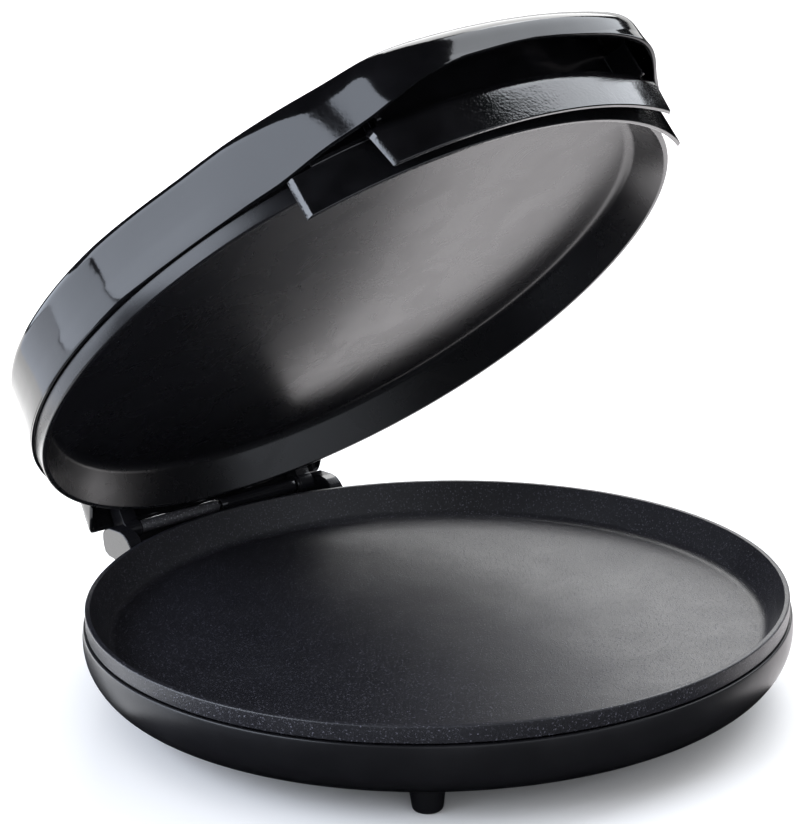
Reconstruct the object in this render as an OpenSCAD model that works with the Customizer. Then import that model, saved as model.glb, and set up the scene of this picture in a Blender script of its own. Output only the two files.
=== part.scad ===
// Round clamshell pizza maker: a round base with a deep lower plate, a domed
// lid with a matching upper plate, a front hand recess with two heat skirts,
// and a cross pin hinge at the back.
// Z up, front is -Y. The origin is on the ground plane under the middle of
// the plates. The lid is drawn open; its own modules are written closed and
// then swung about the hinge pin.

/* [Plates] */
// Outer diameter of both cooking plates
plate_d = 320; // [316:1:324]
// Depth of the lower plate from its rim to the cooking floor
lower_depth = 16; // [15:0.5:17]
// Depth of the upper plate from its rim to its ceiling
upper_depth = 18; // [17:0.5:19]
// Width of the flat rim on each plate
rim_w = 2.4; // [2:0.1:3]
// Height of the plate band that shows beside the casing
band_h = 7.6; // [7:0.1:8]

/* [Base] */
// Height of the foot below the casing
foot_h = 12.5; // [12:0.5:15]
// Height of the rim plane above the casing bottom
body_h = 34.5; // [34.5:0.5:37]
// Width of the rounded lower corner of the casing
corner_w = 13; // [11:1:15]
// Wall thickness of the casings
wall = 2.5; // [2.2:0.1:2.8]
// Sideways distance of each foot from the middle
foot_x = 92; // [86:1:96]
// Front to back distance of each foot from the middle
foot_y = 100; // [94:1:104]

/* [Lid] */
// Angle of the lid above its closed position, as drawn
lid_open = 43.8; // [0:0.1:90]
// Height of the lid wall above the rim plane at its shoulder
shoulder_h = 39.5; // [39:0.5:41]
// Extra rise of the dome from the shoulder to the middle
dome_h = 12; // [8:1:14]
// Distance of the front overhang from the lid centre
front_y = 183.8; // [183.2:0.2:184.2]
// Height of the finger arch above the rim plane, in the middle
arch_h = 20.5; // [19.5:0.5:21]
// Clear gap left between the two rims when the lid is closed
seam = 0.4; // [0.3:0.1:0.8]

/* [Skirts] */
// Outer radius of the inner heat skirt
inner_skirt_r = 165.2; // [165:0.1:165.6]
// Outer radius of the outer heat skirt
outer_skirt_r = 175.4; // [175.2:0.1:175.6]
// Depth of both skirts below the rim plane
skirt_drop = 10.5; // [8:0.5:11]
// Half angle of the inner skirt
inner_skirt_a = 39.4; // [38:0.1:40]
// Half angle of the outer skirt
outer_skirt_a = 27; // [26:0.5:27]

/* [Hinge] */
// Distance of the hinge axis behind the plate edge
hinge_back = 9; // [9:0.5:10]
// Drop of the hinge axis below the rim plane
hinge_drop = 1; // [0.5:0.5:1.5]
// Radius of the hinge pin
pin_r = 2.2; // [2:0.1:2.3]
// Radial running clearance of the lid arms on the pin
pin_gap = 0.06; // [0.02:0.01:0.09]

/* [Hidden] */
$fn = 96;
e = 0.01;
plate_r = plate_d/2;
rim_z = foot_h + body_h;         // rim plane above the ground
lid_z = rim_z + seam;            // lid rim plane when closed
hy = plate_r + hinge_back;
hz = rim_z - hinge_drop;
cas_r = plate_r + 1.8;           // casing radius at its widest
floor_r = plate_r - 10.5;        // radius of the cooking floor
plate_t = 2.2;
el_r = 100;                      // heating element ring
el_t = 3.2;
lidwall_r = plate_r + 1.2;       // lid wall radius at its lower edge

c_black = [0.09, 0.09, 0.10];
c_gloss = [0.03, 0.03, 0.035];
c_coat = [0.24, 0.24, 0.26];
c_steel = [0.72, 0.72, 0.74];
c_dark = [0.16, 0.16, 0.17];

// ---- helpers ----
module lid_pose() translate([0, hy, hz]) rotate([-lid_open, 0, 0])
  translate([0, -hy, -hz]) translate([0, 0, lid_z]) children();
module along_x(x0, x1) translate([x0, 0, 0]) rotate([90, 0, 90])
  linear_extrude(x1 - x0) children();
module both_sides() { children(); mirror([1, 0, 0]) children(); }
// wedge that keeps only angles within +-a of the front
module front_wedge(a, z0, z1, r = 230) translate([0, 0, z0]) linear_extrude(z1 - z0)
  polygon([[0, 0], for (i = [-8:8]) [r*sin(a*i/8), -r*cos(a*i/8)]]);
module ring_sector(r0, r1, z0, z1, a) intersection() {
  rotate_extrude($fn = 180) translate([r0, z0]) square([r1 - r0, z1 - z0]);
  front_wedge(a, z0 - 1, z1 + 1);
}
function cr(a, b, c, d, u) = 0.5*(2*b + (c - a)*u + (2*a - 5*b + 4*c - d)*u*u
  + (3*b - a - 3*c + d)*u*u*u);

// outline of the lid's front overhang, right half, from the middle outwards
dy = front_y - 183.8;
half_ctrl = [[-26, -184.7 - dy], [0, -183.8 - dy], [26, -184.7 - dy], [45, -185 - dy], [54.5, -183.7 - dy],
  [62.4, -180.2 - dy], [70.2, -173.8 - dy], [79.1, -162.1 - dy], [87.4, -151.4], [95.5, -141.6],
  [101.8, -131.6], [105.2, -122.5], [106, -113.5], [105.5, -104]];
half_out = [for (i = [1:len(half_ctrl) - 3]) for (k = [0:2])
  cr(half_ctrl[i-1], half_ctrl[i], half_ctrl[i+1], half_ctrl[i+2], k/3)];
n_out = len(half_out);
function unit(v) = v/norm(v);
function nrm(i) = let (a = half_out[max(i - 1, 0)], b = half_out[min(i + 1, n_out - 1)],
  d = i == 0 ? [1, 0] : unit(b - a)) [d[1], -d[0]];
function inset(t) = [for (i = [0:n_out - 1]) half_out[i] - t*nrm(i)];
function full(t) = let (h = inset(t)) concat(h,
  [[60, -60], [-60, -60]], [for (i = [n_out - 1:-1:1]) [-h[i][0], h[i][1]]]);
// lower edge of the front wall, right half
edge_ctrl = [[0, arch_h], [13, arch_h - 0.4], [22, arch_h - 1.1], [34, arch_h - 2.4], [46, arch_h - 3.9],
  [53, arch_h - 5.3], [61, 13.5], [70, 11.4], [79, 9.8], [94, 9.6], [99, 8.9], [105, 8]];

// ---- base ----
// casing side, from the flat bottom up to the open edge: [distance in, height]
side_ctrl = [[26, 0], [corner_w + 2.5, 0], [corner_w - 1.2, 0.7], [9.2, 2.7], [5.4, 6.1], [2.7, 10], [0.9, 13.8], [0.1, 18.5],
  [0, 23.5], [0.8, body_h - band_h - 0.6], [1.6, body_h - band_h + 5]];
side_pts = [for (i = [1:len(side_ctrl) - 3]) for (k = [0:2])
  cr(side_ctrl[i-1], side_ctrl[i], side_ctrl[i+1], side_ctrl[i+2], k/3)];
module casing_outer() rotate_extrude($fn = 180) polygon(concat([[0, foot_h]],
  [for (p = side_pts) [cas_r - p[0], foot_h + p[1]]],
  [[cas_r - 0.8, rim_z - band_h - 0.6], [0, rim_z - band_h - 0.6]]));
module casing_inner() rotate_extrude($fn = 180) union() {
  r = cas_r - wall - 0.4;
  polygon([[0, foot_h + wall], [r - 14, foot_h + wall], [r - 7, foot_h + wall + 3.4], [r - 1.6, foot_h + wall + 10.5],
    [r, foot_h + wall + 15.5], [r, rim_z], [0, rim_z]]);
}
post_xy = [[0, 70], [70, 0], [0, -70], [-70, 0]];
feet_xy = [[foot_x, foot_y], [-foot_x, foot_y], [foot_x, -foot_y], [-foot_x, -foot_y]];
gland_z = foot_h + 9.5;
module base_housing() color(c_black) difference() {
  union() {
    difference() {
      casing_outer();
      casing_inner();
    }
    // posts for the lower plate
    for (p = post_xy) translate([p[0], p[1], foot_h + wall - 0.5]) {
      cylinder(h = rim_z - 28 - foot_h - wall + 0.5, r = 8);
      cylinder(h = rim_z - 23 - foot_h - wall + 0.5, r = 5.4);
    }
    // sockets for the feet
    for (p = feet_xy) translate([p[0], p[1], foot_h + wall - 0.5]) cylinder(h = 4.5, r = 6);
    // shelf between the hinge ears
    difference() {
      translate([-57.5, 148, rim_z - 12.6]) cube([115, hy + 4 - 148, 3.7]);
      translate([0, 0, rim_z - 15]) cylinder(h = 8, r = cas_r - wall, $fn = 180);
    }
    translate([-46.5, hy + 2, rim_z - 12.6]) cube([93, 2.6, 8]);
    // rear boss round the cord gland
    intersection() {
      translate([0, plate_r - 6, gland_z]) rotate([-90, 0, 0]) cylinder(h = 9.5, r = 9);
      difference() {
        translate([0, 0, foot_h]) cylinder(h = 26, r = 175, $fn = 180);
        translate([0, 0, foot_h - 1]) cylinder(h = 28, r = cas_r - wall - 0.8, $fn = 180);
      }
    }
  }
  // screw holes through the posts with countersunk pockets below
  for (p = post_xy) translate([p[0], p[1], 0]) {
    translate([0, 0, foot_h - 1]) cylinder(h = body_h, r = 2.2);
    translate([0, 0, foot_h - 1]) cylinder(h = 4.2, r = 4.3);
  }
  for (p = feet_xy) translate([p[0], p[1], foot_h - 1]) cylinder(h = 12, r = 1.7);
  // gland hole
  translate([0, plate_r - 14, gland_z]) rotate([-90, 0, 0]) cylinder(h = 30, r = 5.55);
  // vent slots in the bottom, in rows beside the middle
  for (s = [-1, 1]) for (i = [-3:3]) translate([s*35 - 14, i*9 - 1.75, foot_h - 1]) cube([28, 3.5, wall + 2]);
  // holes for the ear screws
  both_sides() translate([62.4, 135, rim_z - 18.5]) rotate([-90, 0, 0]) {
    cylinder(h = 25, r = 1.55);
    cylinder(h = 10.5, r = 2.55, $fn = 24);
  }
}
module feet() color(c_black) for (p = feet_xy) translate([p[0], p[1], 0]) difference() {
  rotate_extrude() union() {
    polygon([[0, 2.6], [6.6, 2.6], [8.2, foot_h], [0, foot_h]]);
    square([4.2, 3]);
    intersection() { translate([4, 2.6]) circle(2.6); square([9, 2.6]); }
  }
  translate([0, 0, -1]) cylinder(h = 2.5, r = 3.6);
  translate([0, 0, 1]) cylinder(h = foot_h - 4, r = 3.1);
  cylinder(h = foot_h + 1, r = 1.7);
}
module foot_pads() color([0.2, 0.2, 0.2]) for (p = feet_xy) translate([p[0], p[1], 0])
  rotate_extrude() polygon([[0, 0], [3, 0], [3.5, 0.5], [3.55, 1.45], [0, 1.45]]);
module foot_screws() color(c_steel) for (p = feet_xy) translate([p[0], p[1], 0]) {
  translate([0, 0, foot_h - 5.55]) cylinder(h = 2.4, r = 2.9);
  translate([0, 0, foot_h - 3.2]) cylinder(h = 9.4, r = 1.6);
}
// dish profile of a plate; z is measured from the rim plane, into the plate
module plate_form(depth) rotate_extrude($fn = 180) difference() {
  union() {
    translate([0, depth]) square([floor_r + 1.5, plate_t]);
    polygon([[floor_r - 3, depth + plate_t], [floor_r - 3, 0], [plate_r, 0], [plate_r, band_h],
      [plate_r - 4.2, band_h], [plate_r - 6.6, depth + plate_t - 1.5], [floor_r + 1.5, depth + plate_t]]);
  }
  // cooking space with a small fillet at the bottom corner
  difference() {
    polygon([[-1, -1], [plate_r - rim_w + 0.15, -1], [plate_r - rim_w, 0], [floor_r, depth], [-1, depth]]);
    difference() {
      polygon([[floor_r - 5, depth + e], [floor_r + 2, depth + e], [floor_r + 2.2, depth - 5], [floor_r - 5, depth - 5]]);
      translate([floor_r - 4.3, depth - 5]) circle(5);
      polygon([[floor_r - 6, depth + 1], [floor_r - 4.3, depth + 1], [floor_r - 4.3, depth - 6], [floor_r - 6, depth - 6]]);
      polygon([[floor_r - 6, depth - 5], [floor_r + 3, depth - 5], [floor_r + 3, depth - 9], [floor_r - 6, depth - 9]]);
    }
  }
}
module lower_plate() color(c_coat) difference() {
  union() {
    translate([0, 0, rim_z]) mirror([0, 0, 1]) plate_form(lower_depth);
    for (p = post_xy) translate([p[0], p[1], rim_z - 23]) cylinder(h = 23 - lower_depth - 1, r = 5);
  }
  for (p = post_xy) translate([p[0], p[1], rim_z - 24]) cylinder(h = 6, r = 2.05);
}
module plate_screws() color(c_steel) for (p = post_xy) translate([p[0], p[1], 0]) {
  translate([0, 0, foot_h + 0.6]) cylinder(h = 2.6, r = 3.9);
  translate([0, 0, foot_h + 1]) cylinder(h = rim_z - 19 - foot_h - 1, r = 2);
}
el_z = rim_z - lower_depth - plate_t - el_t - 0.02;
// open ring of tube with two legs that turn in towards the middle
module element(z) {
  translate([0, 0, z]) rotate([0, 0, 105]) rotate_extrude(angle = 330, $fn = 120) translate([el_r, 0]) circle(el_t, $fn = 32);
  for (a = [108, 72]) rotate([0, 0, a]) {
    translate([el_r, 0, z]) rotate([0, -90, 0]) cylinder(h = 20, r = el_t - 0.5, $fn = 32);
    translate([el_r - 19, 0, z]) rotate([0, -90, 0]) cylinder(h = 9, r = 1.4, $fn = 24);
  }
}
module lower_element() color([0.55, 0.5, 0.45]) element(el_z);
// saddle clips: cup over the tube with a tab to each side
clip_a = [30, 150, 270];
module clips(z, up) for (a = clip_a) rotate([0, 0, a]) translate([el_r, 0, z]) difference() {
  union() {
    rotate([90, 0, 0]) translate([0, 0, -5]) cylinder(h = 10, r = el_t + 1.2, $fn = 32);
    translate([-11, -5, up > 0 ? -el_t : el_t - 1.2]) cube([22, 10, 1.2]);
    translate([-el_t - 1, -5, up > 0 ? -el_t : 0]) cube([2*el_t + 2, 10, el_t]);
  }
  rotate([90, 0, 0]) translate([0, 0, -6]) cylinder(h = 12, r = el_t + 0.2, $fn = 32);
  translate([-el_t - 0.2, -6, up > 0 ? -el_t - 3 : 0]) cube([2*el_t + 0.4, 12, el_t + 3]);
  translate([-20, -6, up > 0 ? -el_t - 5 : el_t]) cube([40, 12, 5]);
  for (s = [-1, 1]) translate([s*7.6, 0, -8]) cylinder(h = 16, r = 1.6, $fn = 24);
}
module lower_clips() color(c_steel) clips(el_z, -1);
module lower_clip_screws() color(c_steel) for (a = clip_a) rotate([0, 0, a]) for (s = [-1, 1])
  translate([el_r + s*7.6, 0, el_z]) {
    translate([0, 0, el_t - 1.2 - 1.8]) cylinder(h = 1.8, r = 2.6, $fn = 24);
    translate([0, 0, el_t - 2]) cylinder(h = 2, r = 1.5, $fn = 24);
  }
module reflector_form(r, t) rotate_extrude($fn = 120) union() {
  square([r - 6, t]);
  polygon([[r - 6.2, 0], [r - 6, 0], [r, 4], [r, 4.6], [r - 6.2, t]]);
}
module lower_reflector() color([0.8, 0.8, 0.82]) difference() {
  translate([0, 0, rim_z - 28 + 0.02]) reflector_form(128, 0.6);
  for (p = post_xy) translate([p[0], p[1], rim_z - 30]) cylinder(h = 6, r = 5.5);
  translate([-17, 104, rim_z - 30]) cube([34, 30, 12]);
}
module thermostat() color([0.85, 0.82, 0.72]) translate([22, -12, rim_z - lower_depth - plate_t - 7.02]) {
  cylinder(h = 7, r = 8);
  translate([-12, -3.5, 5.8]) cube([24, 7, 1.2]);
  for (s = [-1, 1]) translate([s*3.5 - 2.4, 7, 1.2]) cube([4.8, 8, 0.8]);
}
module thermal_fuse() color([0.85, 0.8, 0.7]) translate([-24, 18, el_z + 0.6]) {
  rotate([0, 90, 0]) cylinder(h = 14, r = 2.4, $fn = 32);
  translate([-8, 0, 0]) rotate([0, 90, 0]) cylinder(h = 30, r = 0.6, $fn = 24);
}
module terminal_block() color([0.92, 0.9, 0.84]) translate([-17, 131, foot_h + wall + 0.02]) difference() {
  cube([34, 12, 9.5]);
  for (i = [0:2]) translate([6 + 11*i, -1, 4.5]) rotate([-90, 0, 0]) cylinder(h = 14, r = 1.9, $fn = 24);
  for (i = [0:2]) translate([6 + 11*i, 6, 5]) cylinder(h = 6, r = 2.1, $fn = 24);
}
module wire(a, b, r) { // straight run of insulated wire
  d = b - a; L = norm(d);
  translate(a) rotate([0, acos(d[2]/L), atan2(d[1], d[0])]) cylinder(h = L, r = r, $fn = 20);
}
lead_z = foot_h + wall + 4.52;
module base_leads() color([0.75, 0.2, 0.15]) {
  wire([-11, 130.9, lead_z + 0.5], [-19.9, 71.5, el_z - 0.7], 1.2);
  wire([11, 130.9, lead_z + 0.5], [19.9, 71.5, el_z - 0.7], 1.2);
  wire([-2, 130.9, lead_z + 0.5], [18.5, 4.2, el_z - 1.3], 1.2);
}
gl_y0 = plate_r - 13.5;
module cord_gland() color(c_dark) difference() {
  union() {
    translate([0, gl_y0, gland_z]) rotate([-90, 0, 0]) cylinder(h = 20, r = 5.5);
    translate([0, plate_r + 3.55, gland_z]) rotate([-90, 0, 0]) cylinder(h = 2.2, r = 8.4);
  }
  translate([0, gl_y0 - 4, gland_z]) rotate([-90, 0, 0]) cylinder(h = 34, r = 3.6);
}

// ---- hinge ----
ear_x0 = 58.6; ear_x1 = 66.3;
// side shape of an ear in the Y-Z plane
module ear_side() union() {
  translate([hy - 0.4, hz + 0.2]) circle(4.4);
  polygon([[hy - 26, rim_z - 3], [hy - 18.8, rim_z - 2], [hy - 16.9, rim_z + 0.4], [hy - 13.6, rim_z + 2.7],
    [hy - 10, rim_z + 3.5], [hy - 0.6, rim_z + 3.2], [hy + 2.5, rim_z + 1.9], [hy + 4.6, rim_z - 0.4],
    [hy + 5, rim_z - 3], [hy + 4.5, rim_z - 7], [hy + 3.2, rim_z - 10.2], [hy + 0.4, rim_z - 11.8],
    [hy - 4.5, rim_z - 12.2], [hy - 8, rim_z - 17], [hy - 9.5, rim_z - 22.5], [hy - 26, rim_z - 22.5]]);
}
module hinge_ears() color(c_black) both_sides() difference() {
  along_x(ear_x0, ear_x1) ear_side();
  translate([0, 0, -1]) cylinder(h = rim_z - band_h + 0.4, r = cas_r + 0.05, $fn = 180);
  translate([0, 0, rim_z - band_h - 0.8]) cylinder(h = 30, r = plate_r + 0.6, $fn = 180);
  translate([ear_x0 - 1, hy, hz]) rotate([0, 90, 0]) cylinder(h = 7.2, r = pin_r + 0.03);
  translate([62.4, 130, rim_z - 18.5]) rotate([-90, 0, 0]) cylinder(h = 27, r = 1.5, $fn = 24);
}
module ear_screws() color(c_steel) both_sides() translate([62.4, 0, rim_z - 18.5]) {
  translate([0, 144.6, 0]) rotate([-90, 0, 0]) cylinder(h = 12, r = 1.45, $fn = 24);
  translate([0, 143.95, 0]) rotate([-90, 0, 0]) cylinder(h = 1.5, r = 2.4, $fn = 24);
}
module hinge_pin() color(c_dark)
  translate([-64.6, hy, hz]) rotate([0, 90, 0]) cylinder(h = 129.2, r = pin_r);
module sleeve(x0, x1, r) difference() {
  translate([x0, hy, hz]) rotate([0, 90, 0]) cylinder(h = x1 - x0, r = r);
  translate([x0 - 1, hy, hz]) rotate([0, 90, 0]) cylinder(h = x1 - x0 + 2, r = pin_r + 0.03);
}
module sleeve_left() color(c_dark) sleeve(-47.6, -0.7, 3.1);
module sleeve_right() color(c_black) sleeve(0.7, 47.6, 3.7);

// ---- lid, written closed with z measured from its own rim plane ----
arm_x0 = 49.6; arm_x1 = 57.9;
ay = hy; az = hz - lid_z;        // hinge axis in the lid's own height
module arm_side() union() {
  translate([ay, az]) circle(5.2);
  polygon([[ay - 4.6, az + 2.4], [ay + 4.4, az + 2.4], [ay + 3.6, 4.4], [ay + 2.6, 8], [ay + 0.6, 14],
    [ay - 1, 19.5], [ay - 4, 24], [ay - 7, 27.5], [ay - 13.5, 27.5], [ay - 13.5, 14], [ay - 6.6, 9]]);
}
module lid_arms() color(c_black) lid_pose() both_sides() difference() {
  union() {
    along_x(arm_x0, arm_x1) arm_side();
    translate([48.1, ay, az]) rotate([0, 90, 0]) cylinder(h = 2, r = 4.6);
  }
  translate([45, ay, az]) rotate([0, 90, 0]) cylinder(h = 16, r = pin_r + pin_gap);
  for (z = [17, 23]) translate([(arm_x0 + arm_x1)/2, ay - 14, z]) rotate([-90, 0, 0]) cylinder(h = 10, r = 1.5, $fn = 24);
}
module arm_screws() color(c_steel) lid_pose() both_sides() for (z = [17, 23]) translate([(arm_x0 + arm_x1)/2, 0, z]) {
  translate([0, ay - 17.2, 0]) rotate([-90, 0, 0]) cylinder(h = 12.5, r = 1.45, $fn = 24);
  translate([0, ay - 18.7, 0]) rotate([-90, 0, 0]) cylinder(h = 1.6, r = 2.7, $fn = 24);
}

// lid body of revolution, t is how far in from the outer skin
sh_r = lidwall_r - 3.4;          // wall radius at the shoulder
function dome_z(r) = shoulder_h + dome_h*(1 - pow(r/(sh_r - 4), 2));
module dome_form(t, z0) rotate_extrude($fn = 180) union() {
  polygon([[0, z0], [lidwall_r + 0.6 - t, z0], [lidwall_r - 0.6 - t, 14], [lidwall_r - 1.8 - t, 20],
    [lidwall_r - 2.7 - t, 28], [sh_r - t, shoulder_h - 4], [0, shoulder_h - 4]]);
  intersection() {
    translate([sh_r - 4, shoulder_h - 4]) circle(4 - min(t, 3.5));
    square([400, 400]);
  }
  polygon([[0, z0], [sh_r - 4, shoulder_h - 5], for (i = [8:-1:0]) let (r = (sh_r - 4)*i/8) [r, dome_z(r) - t]]);
}
// front overhang, t is how far in from the outer skin
module overhang_form(t, z0) intersection() {
  translate([0, 0, z0]) linear_extrude(60) polygon(full(t));
  rotate_extrude($fn = 180) union() {
    square([167, 33]);
    polygon([[0, 0], [190, 0], [190, 33.4 - t], [184, 35.6 - t], [178, 37 - t], [172, 38 - t], [166, 38.7 - t], [158, 39.2 - t], [150, 39.6 - t], [0, 46 - t]]);
  }
}
// rear housing over the hinge arms
module rear_form(t, z0) along_x(-72 + t, 72 - t) polygon([[138, z0], [hy + 6.9 - t, z0], [hy + 6.8 - t, 4.3],
  [hy + 5.7 - t, 8.9], [hy + 4 - t, 14.9], [hy + 2.6 - t, 19.5], [hy - 0.4 - t, 25 - t*0.2], [hy - 4.5 - t, 30 - t*0.5],
  [hy - 10.5 - t, 35 - t*0.7], [hy - 17 - t, 38.4 - t], [138, 40.4 - t]]);
module lid_cover() color(c_gloss) lid_pose() difference() {
  union() {
    dome_form(0, 8);
    overhang_form(0, 7.9);
    rear_form(0, 4.2);
  }
  difference() {
    union() {
      dome_form(wall, 7);
      overhang_form(wall, 7);
      rear_form(wall, 3);
    }
    // posts for the lamp board
    for (x = [-13.8, 13.8]) translate([x, lamp_y, lens_z - 9]) cylinder(h = 12, r = 2, $fn = 32);
  }
  // finger arch and the flared lower edge
  rotate([90, 0, 0]) translate([0, 0, 112]) linear_extrude(100)
    polygon(concat([for (p = edge_ctrl) p], [[105, 0], [-105, 0]],
      [for (i = [len(edge_ctrl) - 1:-1:1]) [-edge_ctrl[i][0], edge_ctrl[i][1]]]));
  // room for the hand guard
  ring_sector(160, outer_skirt_r + 0.3, 0, 10.8, 26.3);
  // the rear housing stays clear of the round wall, and its cheeks rise over the ears
  difference() {
    union() {
      translate([-80, 100, 0]) cube([160, 46, 8]);
      both_sides() along_x(69, 80) polygon([[130, 0], [173.2, 0], [172, 4.4], [168.2, 7.4], [165.8, 10.4],
        [164.6, 13.6], [162, 15], [130, 15]]);
      translate([-69.4, 120, 0]) cube([138.8, 40, 8]);
    }
    translate([0, 0, 8]) cylinder(h = 30, r = lidwall_r + 0.9, $fn = 180);
  }
  // seats for the two lamp lenses
  for (x = [-7, 7]) translate([x, -118, 30]) cylinder(h = 30, r = 3.05, $fn = 32);
}
module hand_guard() color(c_gloss) lid_pose() difference() {
  union() {
    ring_sector(inner_skirt_r - 2, inner_skirt_r, -skirt_drop - seam, 8.2, inner_skirt_a);
    ring_sector(outer_skirt_r - 2, outer_skirt_r, -skirt_drop - seam, 10.4, 26);
    ring_sector(outer_skirt_r - 2, outer_skirt_r, -skirt_drop - seam, 8.2, outer_skirt_a);
    ring_sector(inner_skirt_r - 3, outer_skirt_r - 1, 8.2, 10.4, 26);
    ring_sector(inner_skirt_r - 4.6, inner_skirt_r, 8, 10.4, 36);
    ring_sector(inner_skirt_r - 4.4, inner_skirt_r - 2.2, 9, 36.2, 26);
    // end walls of the recess
    for (s = [-1, 1]) intersection() {
      rotate([0, 0, s*25.2]) translate([-1.1, -179, 9]) cube([2.2, 17, 22]);
      translate([0, 0, 9]) cylinder(h = 24, r = 177.4, $fn = 180);
    }
    // screw lugs on the inner side
    for (a = [-20, 0, 20]) rotate([0, 0, a]) translate([-5, -162, 24.5]) cube([10, 8, 3]);
  }
  for (a = [-20, 0, 20]) rotate([0, 0, a]) translate([0, -157, 20]) cylinder(h = 12, r = 1.6, $fn = 24);
}
module guard_screws() color(c_steel) lid_pose() for (a = [-20, 0, 20]) rotate([0, 0, a]) translate([0, -157, 0]) {
  translate([0, 0, 13.2]) cylinder(h = 14.2, r = 1.5, $fn = 24);
  translate([0, 0, 27.5]) cylinder(h = 1.8, r = 2.8, $fn = 24);
  translate([0, 0, 27]) cylinder(h = 1, r = 1.5, $fn = 24);
}
frame_a = [for (i = [0:5]) i*60 + 30];
module lid_frame() color(c_black) lid_pose() difference() {
  union() {
    rotate_extrude($fn = 180) union() {
      polygon([[plate_r - 3.9, 8.4], [plate_r - 1.9, 8.4], [plate_r - 2.5, 14], [plate_r - 3.7, 20],
        [plate_r - 4.4, 26], [plate_r - 5.9, 26], [plate_r - 5.6, 19.5], [plate_r - 4.7, 13]]);
    }
    // lugs over the plate back
    for (a = frame_a) rotate([0, 0, a]) translate([plate_r - 20, -7, upper_depth + plate_t + 0.1]) cube([15.2, 14, 3]);
    // rear pad for the arms
    intersection() {
      translate([-62, 140, 11]) cube([124, 16.6, 16]);
      difference() {
        translate([-62, 140, 11]) cube([124, hy - 13.55 - 140, 16]);
        translate([0, 0, 10]) cylinder(h = 20, r = plate_r - 4.4, $fn = 180);
      }
    }
  }
  for (a = frame_a) rotate([0, 0, a]) translate([plate_r - 15, 0, 10]) cylinder(h = 20, r = 1.6, $fn = 24);
  both_sides() for (z = [17, 23]) translate([(arm_x0 + arm_x1)/2, 130, z]) rotate([-90, 0, 0]) cylinder(h = 40, r = 1.5, $fn = 24);
  both_sides() for (z = [17, 23]) translate([(arm_x0 + arm_x1)/2, 130, z]) rotate([-90, 0, 0]) cylinder(h = ay - 17 - 130, r = 2.9, $fn = 24);
  // seats for the guard screws
  for (a = [-20, 0, 20]) rotate([0, 0, a]) translate([0, -157, 8]) cylinder(h = 30, r = 1.55, $fn = 24);
  translate([0, 0, 24.2]) ring_sector(150, 170, 0, 6, 40);
}
module upper_plate() color(c_coat) lid_pose() difference() {
  union() {
    plate_form(upper_depth);
    for (a = frame_a) rotate([0, 0, a]) translate([plate_r - 15, 0, upper_depth]) cylinder(h = plate_t + 0.05, r = 4.4);
  }
  for (a = frame_a) rotate([0, 0, a]) translate([plate_r - 15, 0, upper_depth + 0.9]) cylinder(h = 6, r = 1.55, $fn = 24);
}
module frame_screws() color(c_steel) lid_pose() for (a = frame_a) rotate([0, 0, a]) translate([plate_r - 15, 0, upper_depth]) {
  translate([0, 0, 1]) cylinder(h = plate_t + 2.2, r = 1.5, $fn = 24);
  translate([0, 0, plate_t + 3.12]) cylinder(h = 1.8, r = 2.8, $fn = 24);
}
uel_z = upper_depth + plate_t + el_t + 0.02;
module upper_element() color([0.55, 0.5, 0.45]) lid_pose() element(uel_z);
module upper_clips() color(c_steel) lid_pose() clips(uel_z, 1);
module upper_clip_screws() color(c_steel) lid_pose() for (a = clip_a) rotate([0, 0, a]) for (s = [-1, 1])
  translate([el_r + s*7.6, 0, uel_z]) {
    translate([0, 0, -el_t + 1.2]) cylinder(h = 1.8, r = 2.6, $fn = 24);
    translate([0, 0, -el_t]) cylinder(h = 2, r = 1.5, $fn = 24);
  }
module upper_reflector() color([0.8, 0.8, 0.82]) lid_pose() difference() {
  translate([0, 0, upper_depth + plate_t + 13.4]) mirror([0, 0, 1]) translate([0, 0, 0]) reflector_form(128, 0.6);
  for (x = [-1]) translate([0, -118, 20]) cylinder(h = 30, r = 12);
}
// lamps under the top of the lid, behind the hand recess
lamp_y = -118;
lens_z = dome_z(118);
module lamp_lenses() color([0.75, 0.05, 0.04, 0.8]) lid_pose() for (x = [-7, 7]) translate([x, lamp_y, 0]) {
  translate([0, 0, lens_z - 4.4]) cylinder(h = 4.6, r = 3, $fn = 32);
  translate([0, 0, lens_z - 5.4]) cylinder(h = 1.4, r = 4.2, $fn = 32);
}
module lamp_board() color([0.1, 0.35, 0.2]) lid_pose() {
  translate([-15, lamp_y - 7, lens_z - 10.4]) cube([30, 14, 1.4]);
  for (x = [-7, 7]) translate([x, lamp_y, lens_z - 9.2]) cylinder(h = 3.6, r = 2.4, $fn = 24);
}
module lid_leads() color([0.75, 0.2, 0.15]) lid_pose() {
  wire([19.9, 147, 26.4], [19.9, 71.5, uel_z + 0.7], 1.2);
  wire([-19.9, 147, 26.4], [-19.9, 71.5, uel_z + 0.7], 1.2);
}

base_housing();
feet();
foot_pads();
foot_screws();
lower_plate();
lower_element();
lower_clips();
lower_clip_screws();
lower_reflector();
plate_screws();
thermostat();
thermal_fuse();
terminal_block();
base_leads();
cord_gland();
hinge_ears();
ear_screws();
hinge_pin();
sleeve_left();
sleeve_right();
lid_cover();
lid_frame();
hand_guard();
guard_screws();
upper_plate();
upper_element();
upper_clips();
upper_clip_screws();
upper_reflector();
frame_screws();
lid_arms();
arm_screws();
lamp_lenses();
lamp_board();
lid_leads();
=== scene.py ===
import math
import bpy
import bmesh
import numpy as np
from mathutils import Vector, Matrix


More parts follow.
